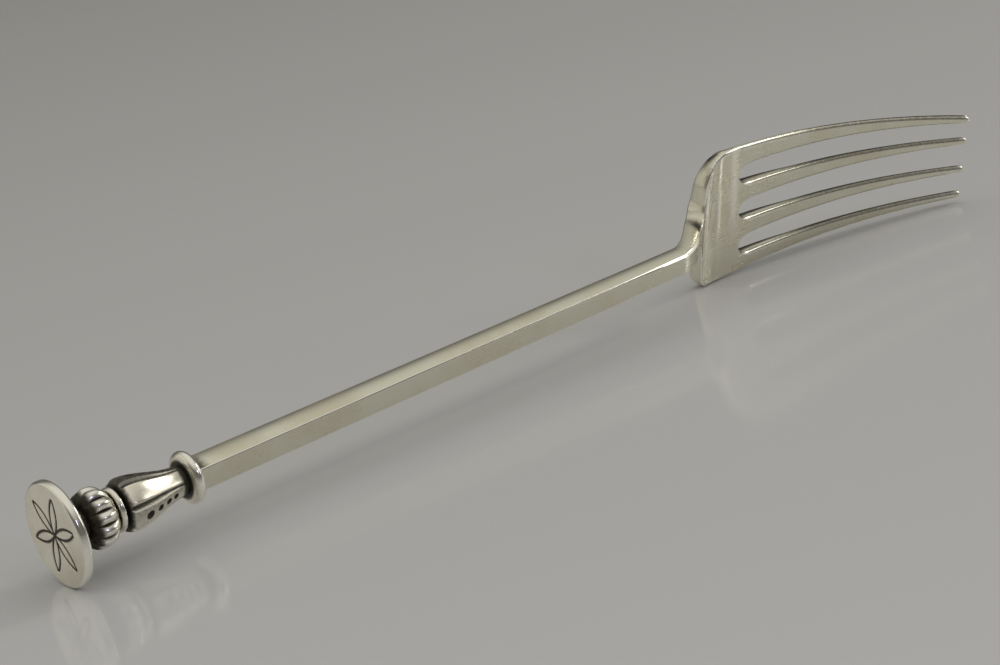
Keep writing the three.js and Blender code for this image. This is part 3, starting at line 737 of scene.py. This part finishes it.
def strip_rings(sizes, at, tine, u):
    """Rounded sections of one tine's strip, with the wear, the painted highlights, the dark film and the
    painted shade at each point.
    """
    edges = strip_edges(sizes, at, tine, u)
    worn = strip_wear(sizes, at, tine, u)
    plan = shoulder_plan(sizes, at)
    thick = blade_thickness(sizes, at, u)
    trim = thick * (1 - tip_taper(sizes, at, u)) / 2
    room = (edges.right - edges.left) * EDGE_WIDTH
    limit = np.minimum((thick - 2 * trim) * EDGE_DEPTH, room)
    skew = sizes.head_skew * ease(at.crank_end, at.slots, u) * (1 - share(at.slots, at.tips, u))
    flat = ease(at.crank - BEVEL_LEAD, at.crank - 2 * MM, u) * (1 - bevel_end(sizes, at, u))
    points, wear, film = [], [], []

    def make_side(edge, towards, part, outer):
        """One side of the strip: which way is inward, and how round, swollen and drafted it is."""
        if outer:
            drafted = ease(plan.sharp, at.slots + 2 * MM, u)
            back = mix(np.minimum(sizes.edge_radius, limit), limit, ease(plan.sharp, at.slots, u))
        else:
            drafted = ease(at.slots + 1 * MM, at.slots + 14 * MM, u)
            back = np.minimum(sizes.edge_radius, limit)
        along, across = inward(at, u, edge)
        return SimpleNamespace(
            edge=edge, along=-towards * along, across=towards * across,
            front=np.minimum(edges.radius, limit) * part, back=back * part,
            swell=sizes.side_swell * (thick - 2 * trim) * part,
            draft=np.minimum(sizes.tine_draft, room - back) * drafted * part)

    left = make_side(edges.left, 1, edges.left_share, tine == 0)
    right = make_side(edges.right, -1, edges.right_share, tine == sizes.tine_count - 1)

    def inset_line(side, inset):
        """A line inside an edge: places along the fork and across it."""
        return np.stack([u + side.along * inset, side.edge + side.across * inset])

    def add(line, part, rise, edge, dark):
        """Adds the points of a line, part of the way from the front face to the back."""
        place, across = line
        front = front_height(sizes, at, place) - trim + worn_lines(sizes, at, place, across)
        back = front + 2 * trim - blade_thickness(sizes, at, place) - upper_heft(sizes, at, place, across)
        points.append(np.stack([place - skew * across, -mix(front, back, part) - rise, across], axis=-1))
        wear.append(np.zeros_like(u) + edge)
        film.append(np.zeros_like(u) + dark)

    def add_face(step, part, edge):
        insets = [side.swell + mix(side.front, side.back + side.draft, part) for side in (left, right)]
        middle = mix(inset_line(left, insets[0]), inset_line(right, insets[1]), step)
        add(middle, part, 0.0, edge * ease(-7 * MM, 2 * MM, middle[1]), 0.0)

    def add_front_arc(side, step, dark):
        turn = step * math.pi / 2
        inset = mix(1 - math.sin(turn), 1 - step, flat)
        drop = mix(math.cos(turn) - 1, -step, flat)
        add(inset_line(side, side.swell + side.front * inset), 0.0, side.front * drop, worn.polished, dark)

    def add_wall(side, step, dark):
        inset = side.swell * (2 * step - 1) ** 2 + side.draft * step
        add(inset_line(side, inset), step, mix(-side.front, side.back, step), 0.0, dark)

    def add_back_arc(side, step, dark):
        turn = step * math.pi / 2
        inset = side.swell + side.draft + side.back * (1 - math.cos(turn))
        add(inset_line(side, inset), 1.0, side.back * (1 - math.sin(turn)), 0.0, dark)

    # The front face, brightened as wear with painted highlights
    for step in FACE_STEPS:
        add_face(step, 0.0, worn.rubbed_and_sheen)
    # The upper front edge: brightened near the roots and tips as painted highlights, darkened along the tines
    # by brown tarnish with painted shade
    for step in ARC_STEPS:
        add_front_arc(right, step, worn.tine_film_and_shade)
    for step in SIDE_STEPS:
        # The upper wall: painted shade darkest at its back, a dark patch in the crook, darker next to the
        # collar, and brown tarnish with painted shade along the tines
        dark = np.maximum(worn.wall_shade * min(1.0, 0.15 + 1.1 * step), worn.crook * (1 - 0.65 * step))
        add_wall(right, step, np.maximum(np.maximum(dark, worn.dark_near_collar), WALL_FILM_AND_SHADE * worn.tine_film_and_shade))
    # Painted shade along the upper back edge
    for step in ARC_STEPS:
        add_back_arc(right, step, np.maximum(worn.wall_shade, BACK_SHADE))
    for step in reversed(FACE_STEPS):
        add_face(step, 1.0, 0.0)
    for step in reversed(ARC_STEPS):
        add_back_arc(left, step, 0.0)
    # The lower wall: darker next to the collar, and painted shade on the lower shoulder
    for step in reversed(SIDE_STEPS):
        add_wall(left, step, np.maximum(worn.dark_near_collar, worn.under))
    for step in reversed(ARC_STEPS):
        add_front_arc(left, step, 0.0)
    return [np.stack(rows, axis=1) for rows in (points, wear, film)]


def forging_stations(sizes, at):
    """Places along the forging, close together where its outline turns."""
    plan = shoulder_plan(sizes, at)
    root = (sizes.tine_root_pitch - sizes.tine_root_width) / 2
    ridge = np.linspace(-1.1 * MM, 1.1 * MM, 17)
    arcs = np.sin(np.linspace(0.0, sizes.shoulder_angle, 14))
    places = np.concatenate([
        np.linspace(at.stem, at.crank, 42),
        np.linspace(at.crank, at.crank_end, 34),
        plan.fillet + sizes.shoulder_fillet * arcs,
        corner_span(sizes, at, sizes.lower_corner)[1] - sizes.lower_corner * arcs,
        corner_span(sizes, at, sizes.upper_corner)[1] - sizes.upper_corner * arcs,
        *(place + ridge for place in filed_band(at)),
        np.linspace(at.plate, at.slots, 28),
        at.slots + root * (1 - np.cos(np.linspace(0.0, math.pi / 2, 14))),
        np.linspace(at.slots + root, at.tips - sizes.tip_rounding, 64),
        at.tips - sizes.tip_rounding * np.cos(np.linspace(0.0, math.pi / 2, 9)),
    ])
    places = np.unique(np.round(places, 8))
    spaced = np.append(True, np.diff(places) > 0.01 * MM)
    fixed = np.isin(places, np.round([at.stem, at.slots, at.tips, at.plate], 8))
    return places[spaced | fixed]


def forging_mesh(scene):
    """The stem, crank, head and tines as one loft of a strip for each tine."""
    sizes, at = scene.fork_forging, along_fork(scene)
    at.stem = at.stem - scene.fork_finial.joint_gap
    sides = len(ARC_STEPS) * 2 + len(SIDE_STEPS)
    face = len(FACE_STEPS)
    u = forging_stations(sizes, at)
    count = 2 * (face + sides)
    just_past = at.slots + 1e-9
    front = set(range(face - 1))
    right = set(range(face - 1, face + sides))
    back = set(range(face + sides, 2 * face + sides - 1))
    left = set(range(2 * face + sides - 1, count))
    points, wear, film, faces = [], [], [], []
    for tine in range(sizes.tine_count):
        rings, ring_wear, ring_film = strip_rings(sizes, at, tine, u)
        base = sum(len(part) for part in points)
        for row in range(len(u) - 1):
            shown = front | back
            slotted = u[row + 1] > just_past
            if slotted or tine == sizes.tine_count - 1:
                shown = shown | right
            if slotted or tine == 0:
                shown = shown | left
            near, far = base + row * count, base + (row + 1) * count
            for step in shown:
                after = (step + 1) % count
                faces.append((near + step, far + step, far + after, near + after))
        ends = np.stack([rings[0].mean(axis=0), rings[-1].mean(axis=0)])
        points += [rings.reshape(-1, 3), ends]
        wear += [ring_wear.reshape(-1), np.zeros(len(ends))]
        film += [ring_film.reshape(-1), np.zeros(len(ends))]
        middle = base + len(u) * count
        tip = base + (len(u) - 1) * count
        for step in range(count):
            after = (step + 1) % count
            faces.append((middle, base + step, base + after))
            faces.append((middle + 1, tip + after, tip + step))
    points = np.concatenate(points)
    band_start, band_end = filed_band(at)
    filed = ease(band_start - 0.6 * MM, band_start, points[:, 0]) * (
        1 - ease(band_end - 0.3 * MM, band_end, points[:, 0]))
    masks = {"edge": np.concatenate(wear), "hollow": np.concatenate(film), "filed": filed}
    return mesh_from_faces(points, faces, masks, silver_material(scene, "forged_silver"))


# Turned members

PROFILE_STOPS = (0, 96, 100, 104, 108, 112, 116)
MEMBER_SIZES = ("Start", "Length", "Start Radius", "End Radius", "Crest Radius", "Bore Radius", "Seam Length",
                "Seam Radius")
MERGE_DISTANCE = 0.001 * MM
# Painted shade on a member's far flat end, where it meets its neighbour
END_SHADE = 0.8
FLATNESS = 0.72
FLAT_SHARE = 0.36
FLAT_INSET = 0.955
# Distance of each dot from the baluster's wide end, and the dot's radius
DOTS = ((2.45 * MM, 0.62 * MM), (4.15 * MM, 0.46 * MM), (5.6 * MM, 0.42 * MM), (6.8 * MM, 0.38 * MM))


def member_tree(name, count, *sizes):
    """A tree that wraps a grid round the fork's axis, with the fields that every member needs."""
    inputs = dict.fromkeys((*MEMBER_SIZES, *sizes), "Float")
    inputs.update({"Segments": "Int", count: "Int", "Material": "Material"})
    entry = new_group(name, "GeometryNodeTree", inputs)
    tree = entry["Start"].tree
    steps = PROFILE_STOPS[-1]
    grid = add_node(tree, "GeometryNodeMeshGrid", {
        "Size X": 1.0, "Size Y": 1.0, "Vertices X": steps + 1, "Vertices Y": entry["Segments"] + 1.0})
    spot = add_node(tree, "GeometryNodeInputPosition")["Position"]
    place = add_node(tree, "ShaderNodeSeparateXYZ", {"Vector": spot})
    step = place["X"] * steps + steps / 2
    return SimpleNamespace(
        tree=tree, entry=entry, grid=grid["Mesh"], turn=(0.5 - place["Y"]) * FULL_TURN,
        stages=[ramp(step, low, high, smooth=False) for low, high in zip(PROFILE_STOPS, PROFILE_STOPS[1:])])


def close_member(made, outer_along, outer_radius, hollow, edge):
    """Adds the flat ends, the soldered seam and the bore to an outer surface, and ends the tree."""
    entry, stages = made.entry, made.stages
    bore, seam = entry["Bore Radius"], entry["Seam Radius"]
    far_face = stages[1] * (bore - entry["End Radius"])
    near_face = stages[3] * (seam - bore)
    lip = stages[5] * (entry["Start Radius"] - seam)
    radius = outer_radius + far_face + (near_face + lip)
    back = stages[2] * (entry["Length"] + entry["Seam Length"])
    spot = add_node(made.tree, "ShaderNodeCombineXYZ", {
        "X": outer_along + (stages[4] * entry["Seam Length"] - back),
        "Y": radius * (calc("SINE", made.turn) * -1.0),
        "Z": radius * calc("COSINE", made.turn)})
    mesh = made.grid
    # The far flat end gets painted shade where it meets the next member
    for kind, inputs in (
            ("StoreNamedAttribute", {"Name": "hollow", "Value": largest(hollow, stages[1] * END_SHADE)}),
            ("StoreNamedAttribute", {"Name": "edge", "Value": edge}),
            ("SetPosition", {"Position": spot["Vector"]}),
            ("MergeByDistance", {"Distance": MERGE_DISTANCE}),
            ("RealizeInstances", {}),
            ("SetMaterial", {"Material": entry["Material"]})):
        mesh = add_node(made.tree, "GeometryNode" + kind, {"Geometry": mesh, **inputs})["Geometry"]
    return end_group("Geometry", Geometry=mesh)


def valley(count, turn):
    """Round lobes with a sharp valley between each two: 1 in a valley and 0 on a crest."""
    return 1.0 - calc("ABSOLUTE", calc("COSINE", turn * count * 0.5))


def bead_tree():
    """A turned bead, plain or cut into lobes."""
    made = member_tree("Turned bead", "Lobes", "Lobe Depth", "Seal Side Film")
    entry = made.entry
    sweep = made.stages[0] * math.pi
    bulge = calc("SINE", sweep)
    travel = (1.0 - calc("COSINE", sweep)) * 0.5
    along = travel * entry["Length"] + entry["Start"]
    rise = entry["Crest Radius"] - entry["End Radius"]
    cut = valley(entry["Lobes"], made.turn) * bulge
    radius = bulge * rise + entry["End Radius"] - cut * entry["Lobe Depth"]
    # Dark mask: dark film in the lobes' valleys, painted shade near the flat ends and on the side facing the
    # seal
    deep = ramp(cut * ramp(entry["Lobe Depth"], 0.0, 0.2 * MM), 0.3, 0.95)
    ends = fall(bulge, 0.05, 0.45) * 0.55
    shaded = entry["Seal Side Film"] * fall(travel, 0.1, 0.5)
    return close_member(made, along, radius, largest(deep, ends, shaded), ramp(bulge, 0.8, 1.0))


def baluster_tree():
    """A tapering baluster with grooves between its panels and punched dots on every second panel."""
    made = member_tree("Panelled baluster", "Panels", "Lip Length", "Groove Depth", "Dot Depth", "Panel Turn")
    entry, outer = made.entry, made.stages[0]
    crest, start, lip = entry["Crest Radius"], entry["Start Radius"], entry["Lip Length"]

    # Round outline
    travel = outer * entry["Length"]
    left = fall(travel, 0.0, lip, smooth=False)
    swell = calc("SQRT", 1.0 - left * left)
    taper = ramp(travel, lip, entry["Length"])
    round_radius = swell * (crest - start) + start - taper * (crest - entry["End Radius"])

    # Flat panels and the grooves between them
    panel = FULL_TURN / entry["Panels"]
    half_panel = panel * 0.5
    turned = half_panel + (made.turn - entry["Panel Turn"])
    groove = valley(entry["Panels"], turned)
    aside = calc("WRAP", turned, half_panel, half_panel * -1.0)
    flat = calc("MINIMUM", calc("ABSOLUTE", aside), panel * FLAT_SHARE)
    facet = FLAT_INSET / calc("COSINE", flat) - 1.0
    kept = ramp(travel, 0.0, 0.4 * MM) * fall(outer, 0.92, 1.0)
    panelled = round_radius * facet * FLATNESS * kept + round_radius
    depth = ramp(round_radius, entry["Bore Radius"], crest) * kept
    sunk = ramp(groove, 0.45, 1.0) * depth * entry["Groove Depth"]

    # Dots on every second panel
    wrapped = calc("WRAP", turned, panel, panel * -1.0)
    sideways = wrapped * round_radius
    dots, stains = 0.0, 0.0
    for spot, dot in DOTS:
        onward = travel - spot
        reach = calc("SQRT", onward * onward + sideways * sideways)
        dots = dots + fall(reach, 0.35 * dot, dot)
        stains = stains + fall(reach, 0.8 * dot, 1.2 * dot)
    outside = calc("COMPARE", made.stages[1], 0.0, 0.001)
    radius = panelled - sunk - dots * (outside * entry["Dot Depth"])

    # Dark mask: dark film in and round the dots, dark film and painted shade in the grooves, painted shade at
    # both ends, and the dotted panels darker, most on top
    ends = fall(travel, 0.0, 0.8 * MM) * 0.7
    narrow = ramp(outer, 0.86, 1.0)
    cut = ramp(groove, 0.5, 0.95) * 0.75
    upper = calc("COSINE", made.turn) * 0.35 + 0.4
    dotted = fall(calc("ABSOLUTE", wrapped) / panel, 0.34, 0.46) * upper
    hollow = largest(stains * outside, ends, narrow, cut, dotted)
    return close_member(made, travel + entry["Start"], radius, hollow, ramp(groove, 0.1, 0.0) * 0.3)


def add_member(scene, tree, silver, node, start, run, end, crest, seam, more):
    """Runs a tree with the sizes of one turned member and keeps the result as a plain mesh."""
    finial = scene.fork_finial
    values = {"Start": start, "Length": run, "End Radius": end / 2, "Start Radius": end / 2,
              "Crest Radius": crest / 2, "Bore Radius": finial.bore_radius, "Seam Length": finial.joint_gap,
              "Seam Radius": seam / 2 - finial.seam_step, "Segments": 96, "Material": silver, **more}
    holder = bpy.data.objects.new("holder", bpy.data.meshes.new("holder"))
    scene.collection.objects.link(holder)
    modifier = holder.modifiers.new("grow", "NODES")
    modifier.node_group = tree
    for socket in tree.interface.items_tree:
        if socket.in_out == "INPUT":
            modifier[socket.identifier] = values[socket.name]
    graph = bpy.context.evaluated_depsgraph_get()
    mesh = bpy.data.meshes.new_from_object(holder.evaluated_get(graph))
    bpy.data.objects.remove(holder)
    finish_piece(scene, mesh, node)


# Seal

SEAL_RINGS = 84
SEAL_SEGMENTS = 288


def revolve(profile, segments, relief, masks, material):
    """Turns a profile that starts and ends on the axis into one closed mesh."""
    turns = np.arange(segments) * FULL_TURN / segments
    places = np.array(profile)
    along = np.repeat(places[:, :1], segments, axis=1)
    radius = np.repeat(places[:, 1:], segments, axis=1)
    sideways, upward = -radius * np.sin(turns), radius * np.cos(turns)
    along = along + relief(along, sideways, upward)
    points = np.stack([along, sideways, upward], axis=-1).reshape(-1, 3)
    faces = []
    for row in range(len(places) - 1):
        for step in range(segments):
            after = (step + 1) % segments
            faces.append((row * segments + step, row * segments + after,
                          (row + 1) * segments + after, (row + 1) * segments + step))
    fields = {mask: field(along, sideways, upward).reshape(-1) for mask, field in masks.items()}
    return mesh_from_faces(points, faces, fields, material)


def engraved_line(distance, width):
    """A rounded groove, from 1 on its middle line to 0 at its edge."""
    return 1 - ease(0.0, width, np.abs(distance))


def compass_flower(sideways, upward):
    """A six-petalled flower struck with compasses, the plainest of engraved ornaments."""
    flower, width = 5.2 * MM, 0.34 * MM
    reach = np.hypot(sideways, upward)
    lines = np.zeros_like(reach)
    for petal in range(6):
        turn = petal * FULL_TURN / 6
        centre_distance = np.hypot(sideways - flower * math.sin(turn), upward - flower * math.cos(turn))
        lines = np.maximum(lines, engraved_line(centre_distance - flower, width) * (reach < flower))
    return lines


def seal_mesh(scene):
    """The round seal with its neck, its worn edge and its engraved face."""
    finial, at = scene.fork_finial, along_fork(scene)
    rim, edge, thick = finial.seal_diameter / 2, finial.seal_edge, finial.seal_thickness
    quarter = np.linspace(0.0, math.pi / 2, 7)
    face = [(0.0, radius) for radius in np.linspace(0.0, rim - edge, SEAL_RINGS)]
    front = [(edge - edge * math.cos(turn), rim - edge + edge * math.sin(turn)) for turn in quarter[1:]]
    back = [(thick - edge + edge * math.sin(turn), rim - edge + edge * math.cos(turn)) for turn in quarter]
    fillet = 0.5 * MM
    neck = finial.neck_diameter / 2
    root = [(thick + fillet - fillet * math.cos(turn), neck + fillet - fillet * math.sin(turn))
            for turn in quarter]
    end = [(at.neck_end, neck), (at.neck_end, 0.0)]
    groove = 0.14 * MM

    def relief(along, sideways, upward):
        return groove * compass_flower(sideways, upward) * (along == 0.0)

    # Dark film in the engraved lines, and darker on the seal's back round its neck
    def hollow(along, sideways, upward):
        reach = np.hypot(sideways, upward)
        near_neck = 1 - ease(neck + 0.3 * MM, rim * 0.8, reach)
        behind = ease(thick * 0.9, thick, along) * near_neck
        cut = compass_flower(sideways, upward) * (along < 1.5 * groove)
        return np.maximum(cut, behind)

    # Brighter round the worn rim, as wear with a painted sheen
    def rubbed_and_sheen(along, sideways, upward):
        reach = np.hypot(sideways, upward)
        return ease(rim - edge, rim - 0.3 * edge, reach)

    return revolve(face + front + back + root + end, SEAL_SEGMENTS, relief,
                   {"hollow": hollow, "edge": rubbed_and_sheen}, silver_material(scene, "seal_silver"))


# Studio

CAMERA_PLACE = (-183.83 * MM, -228.13 * MM, 96.1 * MM)
SENSOR_WIDTH = 36.0
DOME_BASE = 0.12
DOME_RISE = 0.55
FLOOR_REACH = 3.0
FLOOR_ROUGHNESS = 0.12
KEY_TOWARDS = (0.66, -0.60, 0.45)
KEY_COLOUR = (1.0, 0.98, 0.93)
# Name, power, direction from the fork, distance, width, height and colour of the lights beside the key
LIGHTS = (
    ("window", "window_power", (0.05, -0.88, 0.46), 0.9, 0.09, 0.09, (0.72, 0.66, 1.0)),
    ("fill", "fill_power", (0.795, -0.27, 0.543), 1.0, 0.16, 0.16, (1.0, 0.97, 0.9)),
    ("side", "side_power", (0.775, -0.585, 0.235), 0.9, 0.14, 0.14, (1.0, 0.98, 0.92)),
    ("right wall", "right_power", (0.92, -0.25, 0.3), 0.9, 0.75, 0.4, (1.0, 0.98, 0.92)),
    ("left wall", "left_power", (-0.73, 0.59, 0.34), 1.2, 1.2, 0.8, (1.0, 0.97, 0.86)))


def look_matrix(place, turn, dip, roll):
    """Where the camera stands and which way it looks."""
    forward = Vector((math.sin(turn) * math.cos(dip), math.cos(turn) * math.cos(dip), -math.sin(dip)))
    level = Vector((math.cos(turn), -math.sin(turn), 0.0))
    return placed(place, *turn_pair(level, level.cross(forward), roll), -forward)


def floor_mesh(scene):
    """A wide flat floor under the fork, pale and with a soft gloss."""
    material, surface = new_material("pale_floor")
    surface["Base Color"].default_value = (*scene.fork_stage.floor_colour, 1.0)
    surface["Roughness"].default_value = FLOOR_ROUGHNESS
    corners = [(x * FLOOR_REACH, y * FLOOR_REACH, 0.0) for x, y in ((-1, -1), (1, -1), (1, 1), (-1, 1))]
    mesh = bpy.data.meshes.new("floor")
    mesh.from_pydata(corners, [], [(0, 1, 2, 3)])
    mesh.materials.append(material)
    return mesh


def studio_world(scene):
    """Soft light from all round: dim near the floor and brighter overhead."""
    stage = scene.fork_stage
    world = bpy.data.worlds.new("studio")
    world.use_nodes = True
    tree = world.node_tree
    back = tree.nodes["Background"].inputs
    place = add_node(tree, "ShaderNodeTexCoord")["Generated"]
    height = add_node(tree, "ShaderNodeSeparateXYZ", {"Vector": place})["Z"]
    light = ramp(height, 0.35, 0.9) * DOME_RISE + DOME_BASE
    back["Color"].default_value = (*stage.dome_colour, 1.0)
    join(light * stage.dome_strength, back["Strength"])
    return world


def soft_light(name, power, towards, distance, width, height, tint):
    """An area light that looks at the middle of the fork."""
    lamp = bpy.data.lights.new(name, "AREA")
    lamp.shape = "RECTANGLE"
    lamp.size = width
    lamp.size_y = height
    lamp.energy = power
    lamp.color = tint
    light = bpy.data.objects.new(name, lamp)
    towards = Vector(towards).normalized()
    turn = towards.to_track_quat("Z", "Y").to_matrix().to_4x4()
    light.matrix_world = Matrix.Translation(towards * distance) @ turn
    return light


def studio_lights(scene):
    """A key above the tines, a small cool window behind the camera, a fill, a side light and two walls."""
    stage = scene.fork_stage
    size = stage.key_size
    key = soft_light("key", stage.key_power, KEY_TOWARDS, stage.key_distance, size, size, KEY_COLOUR)
    return key, *(soft_light(name, getattr(stage, power), *more) for name, power, *more in LIGHTS)


# Operators

class ForkOperator:
    """What the operators share."""

    bl_options = {"REGISTER", "UNDO"}


class FORK_OT_stage(ForkOperator, Operator):
    """Sets out the floor, the lights and the camera"""

    bl_idname = "fork.stage"
    bl_label = "Set the stage"

    def execute(self, context):
        scene = context.scene
        stage = scene.fork_stage
        floor = bpy.data.objects.new("floor", floor_mesh(scene))
        camera = bpy.data.objects.new("camera", bpy.data.cameras.new("camera"))
        for thing in (floor, camera, *studio_lights(scene)):
            scene.collection.objects.link(thing)
        scene.world = studio_world(scene)
        scene.view_settings.view_transform = "Standard"
        camera.data.sensor_fit = "HORIZONTAL"
        camera.data.sensor_width = SENSOR_WIDTH
        camera.data.lens = stage.lens
        camera.data.clip_start = 0.01
        camera.matrix_world = look_matrix(
            CAMERA_PLACE, stage.camera_turn, stage.camera_dip, stage.camera_roll)
        scene.camera = camera
        return {"FINISHED"}


class FORK_OT_forging(ForkOperator, Operator):
    """Forges the stem, crank, head and tines"""

    bl_idname = "fork.forging"
    bl_label = "Forge the fork"

    def execute(self, context):
        scene = context.scene
        finish_piece(scene, forging_mesh(scene), "fork_forging")
        return {"FINISHED"}


class FORK_OT_beads(ForkOperator, Operator):
    """Turns the collar, the thin ring and the lobed knop"""

    bl_idname = "fork.beads"
    bl_label = "Turn the beads"

    def execute(self, context):
        scene = context.scene
        finial, at = scene.fork_finial, along_fork(scene)
        tree, silver = bead_tree(), silver_material(scene, "cast_silver")
        # The last value of each is painted shade on the side facing the seal
        plain = {"Lobes": 1, "Lobe Depth": 0.0, "Seal Side Film": 0.1}
        lobed = {"Lobes": finial.knop_lobes, "Lobe Depth": finial.knop_lobe_depth, "Segments": 288,
                 "Seal Side Film": 0.9}
        members = (
            ("stem_collar", at.collar, finial.collar_length, finial.collar_end, finial.collar_diameter,
             finial.baluster_waist + finial.seam_step, plain),
            ("fillet_ring", at.fillet, finial.fillet_length, finial.fillet_end, finial.fillet_diameter,
             finial.fillet_end, plain),
            ("lobed_knop", at.knop, finial.knop_length, finial.knop_end, finial.knop_diameter,
             finial.neck_diameter + finial.seam_step, lobed))
        for member in members:
            add_member(scene, tree, silver, *member)
        return {"FINISHED"}


class FORK_OT_baluster(ForkOperator, Operator):
    """Turns the baluster, cuts its panels and punches its dots"""

    bl_idname = "fork.baluster"
    bl_label = "Turn the baluster"

    def execute(self, context):
        scene = context.scene
        finial, at = scene.fork_finial, along_fork(scene)
        silver = next(filter(None, bpy.data.objects["stem_collar_body"].data.materials))
        panelled = {
            "Start Radius": finial.baluster_lip / 2, "Lip Length": finial.baluster_lip_length,
            "Panels": finial.baluster_panels, "Groove Depth": finial.groove_depth,
            "Dot Depth": finial.dot_depth, "Panel Turn": finial.panel_turn, "Segments": 240}
        add_member(scene, baluster_tree(), silver, "baluster", at.baluster, finial.baluster_length,
                   finial.baluster_waist, finial.baluster_diameter, finial.fillet_end, panelled)
        return {"FINISHED"}


class FORK_OT_seal(ForkOperator, Operator):
    """Casts the round seal and engraves its face"""

    bl_idname = "fork.seal"
    bl_label = "Cast the seal"

    def execute(self, context):
        scene = context.scene
        finish_piece(scene, seal_mesh(scene), "seal_disc")
        return {"FINISHED"}


OPERATORS = (FORK_OT_stage, FORK_OT_forging, FORK_OT_beads, FORK_OT_baluster, FORK_OT_seal)


class FORK_PT_sidebar(Panel):
    """Lists the operators in the sidebar"""

    bl_idname = "FORK_PT_sidebar"
    bl_label = "Seal-top fork"
    bl_space_type = "VIEW_3D"
    bl_region_type = "UI"
    bl_category = "Fork"

    def draw(self, context):
        for operator in OPERATORS:
            self.layout.operator(operator.bl_idname)


CLASSES = (*SETTINGS.values(), *OPERATORS, FORK_PT_sidebar)


def register():
    for part in CLASSES:
        bpy.utils.register_class(part)
    for name, group in SETTINGS.items():
        setattr(bpy.types.Scene, name, PointerProperty(type=group))


def unregister():
    for name in SETTINGS:
        delattr(bpy.types.Scene, name)
    for part in reversed(CLASSES):
        bpy.utils.unregister_class(part)


def main():
    register()
    bpy.ops.fork.stage()
    bpy.ops.fork.forging()
    bpy.ops.fork.beads()
    bpy.ops.fork.baluster()
    bpy.ops.fork.seal()


if __name__ == "__main__":
    main()
